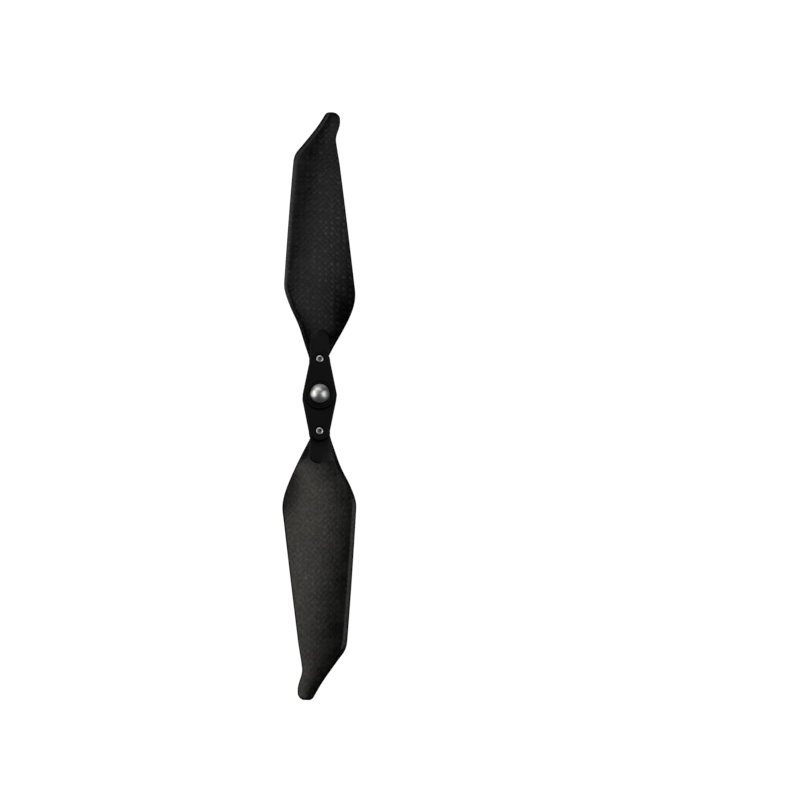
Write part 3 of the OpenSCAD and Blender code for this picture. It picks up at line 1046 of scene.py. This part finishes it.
def metal_material(name, low, high, roughness, turned, at=(0.0, 0.0), socket=None, brushed=0.0):
    """Turned or ground metal: faint rings round the vertical line at a place, and a cloudy tone.

    socket is the radius of a driver socket that is painted dark inside as shade, and the height where it
    starts.
    brushed is how far highlights are drawn out across the turning marks.
    """
    made, n = material(name, metallic=1.0)
    if brushed:
        n.shader.inputs["Anisotropic"].default_value = brushed
        n.shader.inputs["Anisotropic Rotation"].default_value = 0.25
        round_z = n.add("ShaderNodeTangent", direction_type="RADIAL", axis="Z")
        n.plug(round_z.outputs[0], n.shader.inputs["Tangent"])
    split = n.add("ShaderNodeSeparateXYZ")
    n.plug(n.place(), split.inputs[0])
    dx = n.math("SUBTRACT", split.outputs["X"], at[0])
    dy = n.math("SUBTRACT", split.outputs["Y"], at[1])
    radius = n.math("SQRT", n.math("ADD", n.math("MULTIPLY", dx, dx), n.math("MULTIPLY", dy, dy)))
    rings = n.noise(n.joined(radius, split.outputs["Z"]), RING_SCALE, 2, 0.7)
    cloudy = n.noise(n.place(), 420, 3)
    tint = n.colour(cloudy, low, high)
    if socket is not None:
        # Painted shade: the deep socket is darkened inside
        within = n.range(radius, socket[0], socket[0] * 1.12, 1.0, 0.0)
        inside = n.math("MULTIPLY", within, n.range(split.outputs["Z"], socket[1], socket[1] + 0.1 * MM))
        tint = n.colour(inside, tint, SOCKET_SHADE)
    n.plug(tint, n.shader.inputs["Base Color"])
    rough = n.math("ADD", n.range(cloudy, *MOST_NOISE, roughness - 0.04, roughness + 0.04),
                   n.range(rings, *MOST_NOISE, -0.03, 0.03))
    n.plug(rough, n.shader.inputs["Roughness"])
    n.plug(n.bump(rings, RING_BUMP, turned), n.shader.inputs["Normal"])
    return made


FLOOR_GLOW = 0.95       # the floor is lit to the plain white of a packshot


def floor_material():
    made, n = material("floor_white")
    mottle = n.noise(n.place(), 4, 2)
    n.plug(n.colour(mottle, (0.55, 0.55, 0.55), (0.57, 0.57, 0.57)), n.shader.inputs["Base Color"])
    n.shader.inputs["Roughness"].default_value = 0.9
    n.shader.inputs["Specular IOR Level"].default_value = 0.0
    n.shader.inputs["Emission Color"].default_value = (1, 1, 1, 1)
    n.shader.inputs["Emission Strength"].default_value = FLOOR_GLOW
    return made


def dress(obj, look):
    obj.data.materials.clear()
    obj.data.materials.append(look)


# ---------------------------------------------------------------- the propeller

hub_look = plastic_material("hub_plastic", (0.003, 0.003, 0.0042), (0.005, 0.005, 0.0066), 0.4, 0.12 * MM,
                            specular=0.22)
nut_look = metal_material("nut_aluminium", (0.84, 0.85, 0.82), (0.92, 0.93, 0.91), 0.31, 0.35, brushed=0.3)
washer_look = plastic_material("washer_nylon", (0.62, 0.60, 0.55), (0.72, 0.70, 0.64), 0.4, 0.1 * MM)
lock_look = plastic_material("lock_nylon", (0.45, 0.50, 0.60), (0.52, 0.57, 0.66), 0.35, 0.1 * MM)

SOCKET_SHADE_REACH = 0.66 * MM    # radius within which a screw's socket is painted dark as shade
BUSH_R = 2.0
BUSH_BORE_R = 1.05
WASHER_BORE_R = 2.05
RING_CHAMFER = 0.12
WASHER_CHAMFER = 0.06
LOCK_RING_GAP = 0.03        # the nylon ring ends this far inside the nut's collar


def make_hub():
    """The two plates and the dome nut."""
    for make, look, node, slot in (
            (make_hub_cover, hub_look, "hub_cover", "hub_plastic"),
            (make_hub_base, hub_look, "hub_base", "hub_plastic"),
            (make_shaft_nut, nut_look, "shaft_nut", "nut_aluminium")):
        piece = make()
        dress(piece, look)
        place(piece, "hub", node, slot=slot)


def make_pivot(letter, at):
    """The screw, lock nut, nylon ring, bush and washers that one blade turns on."""
    spot = (at[0] * MM, at[1] * MM)
    screw = make_screw("socket_screw_" + letter, at)
    dress(screw, metal_material("screw_steel_" + letter, (0.88, 0.87, 0.84), (0.96, 0.95, 0.92), 0.27, 0.3,
                                spot, socket=(SOCKET_SHADE_REACH, HEAD_Z * MM)))
    place(screw, "hub", "pivot_screw_" + letter, slot="screw_steel")

    nut = make_lock_nut("locking_nut_" + letter, at)
    dress(nut, metal_material("nut_steel_" + letter, (0.5, 0.5, 0.5), (0.62, 0.62, 0.63), 0.33, 0.3, spot))
    place(nut, "hub", "lock_nut_" + letter, slot="nut_steel")

    ring = make_ring("locking_ring_" + letter, at, LOCK_RING_R, LOCK_BORE_R,
                     LOCK_Z + LOCK_RING_GAP, LOCK_Z + LOCK_RING_H, RING_CHAMFER)
    dress(ring, lock_look)
    place(ring, "hub", "lock_ring_" + letter, slot="lock_nylon")

    bush = make_ring("brass_bush_" + letter, at, BUSH_R, BUSH_BORE_R, bush_low.z, bush_high.z, RING_CHAMFER)
    dress(bush, metal_material("bush_brass_" + letter, (0.58, 0.42, 0.18), (0.68, 0.52, 0.25), 0.28, 0.4,
                               spot))
    place(bush, "hub", "pivot_bush_" + letter, slot="bush_brass")

    for level in ("upper", "lower"):
        node = level + "_washer_" + letter
        low, high = (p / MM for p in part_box(node))
        washer = make_ring(level + "_thrust_washer_" + letter, at, high.x, WASHER_BORE_R, low.z, high.z,
                           WASHER_CHAMFER)
        dress(washer, washer_look)
        place(washer, "hub", node, slot="washer_nylon")


make_hub()
for letter, side in (("a", 1), ("b", -1)):
    blade = make_blade("carbon_blade_" + letter, side)
    dress(blade, carbon_material("carbon_laminate_" + letter, LAMINATES[letter]))
    place(blade, "blade_" + letter, "blade_" + letter, slot="carbon_laminate")
    make_pivot(letter, (0, side * PIVOT_Y))


# ---------------------------------------------------------------- floor, light and camera

FLOOR_R = 8.0


def make_floor():
    """A round white floor. It isn't mirrored in the object and doesn't light it."""
    bpy.ops.mesh.primitive_circle_add(vertices=ROUND_STEPS, radius=FLOOR_R, fill_type="NGON",
                                      location=(0, 0, cad_box[0][2]))
    floor = bpy.context.object
    floor.name = "floor"
    floor.visible_glossy = False
    floor.visible_diffuse = False
    dress(floor, floor_material())


def panel(name, size, location, turn, radiance, tint):
    """A rectangular light. Its power follows from how bright its face is."""
    data = bpy.data.lights.new(name, "AREA")
    data.shape = "RECTANGLE"
    data.size, data.size_y = size
    data.energy = radiance * math.pi * size[0] * size[1]
    data.color = tint
    light = bpy.data.objects.new(name, data)
    bpy.context.scene.collection.objects.link(light)
    light.location = location
    light.rotation_euler = turn
    light.visible_camera = False


def softbox(name, across, along, height, radiance, tint):
    """A panel over the propeller.

    across and along are the angles from the vertical between which the propeller sees it, in the direction
    of X and of Y.
    """
    tilt, half_width = math.radians(sum(across) / 2), math.radians((across[1] - across[0]) / 2)
    low, high = (height * math.tan(math.radians(a)) for a in along)
    size = 2 * height / math.cos(tilt) * math.tan(half_width), high - low
    panel(name, size, (height * math.tan(tilt), (low + high) / 2, height), (0, tilt, 0), radiance, tint)


WARM, PLAIN = (1.0, 0.98, 0.92), (0.98, 0.985, 1.0)
SURROUNDINGS = (0.035, 0.035, 0.037)


def make_lights():
    softbox("left_wall", (-78, -54), (-12, 40), 0.5, 0.35, WARM)
    softbox("left_key", (-54, -33), (-20, 40), 0.85, 1.6, WARM)
    softbox("left_fill", (-33, -22), (-12, 40), 1.0, 0.42, PLAIN)
    softbox("overhead", (-42, 8), (36, 54), 1.05, 1.35, PLAIN)
    softbox("ceiling", (-8, 12), (-2, 32), 1.2, 0.14, PLAIN)
    softbox("right_key", (17, 45), (-18, 16), 0.85, 1.15, PLAIN)
    softbox("right_fill", (25, 45), (16, 30), 1.0, 0.85, PLAIN)
    panel("backdrop", (1.8, 0.6), (0, 1.2, 0.33), (-math.pi / 2, 0, 0), 0.2, PLAIN)
    world = bpy.data.worlds.new("studio")
    world.use_nodes = True
    world.node_tree.nodes["Background"].inputs["Color"].default_value = (*SURROUNDINGS, 1)
    bpy.context.scene.world = world


# The camera looks down steeply, with +Y up in the picture. The propeller stands left of the middle.
CAMERA_AIM = Vector((31.8, -1.0, SLOT_MID)) * MM
CAMERA_DISTANCE = 0.9455
CAMERA_ELEVATION = math.radians(76.1)
CAMERA_AZIMUTH = math.radians(13.5)
CAMERA_ROLL = math.radians(-0.33)
CAMERA_LENS = 107.6     # millimetres, on a sensor this wide
CAMERA_SENSOR = 36


def make_camera():
    data = bpy.data.cameras.new("camera")
    data.lens = CAMERA_LENS
    data.sensor_width = CAMERA_SENSOR
    data.clip_start, data.clip_end = 0.01, 50
    camera = bpy.data.objects.new("camera", data)
    bpy.context.scene.collection.objects.link(camera)
    forward = Vector((math.sin(CAMERA_AZIMUTH) * math.cos(CAMERA_ELEVATION),
                      math.cos(CAMERA_AZIMUTH) * math.cos(CAMERA_ELEVATION), -math.sin(CAMERA_ELEVATION)))
    up = Matrix.Rotation(-CAMERA_ROLL, 3, forward) @ (Vector((0, 1, 0)) - forward * forward.y).normalized()
    right = forward.cross(up)
    turn = Matrix((right, up, -forward)).transposed()
    camera.matrix_world = Matrix.LocRotScale(CAMERA_AIM - forward * CAMERA_DISTANCE, turn, None)
    bpy.context.scene.camera = camera


make_floor()
make_lights()
make_camera()
bpy.context.scene.view_settings.view_transform = "Standard"
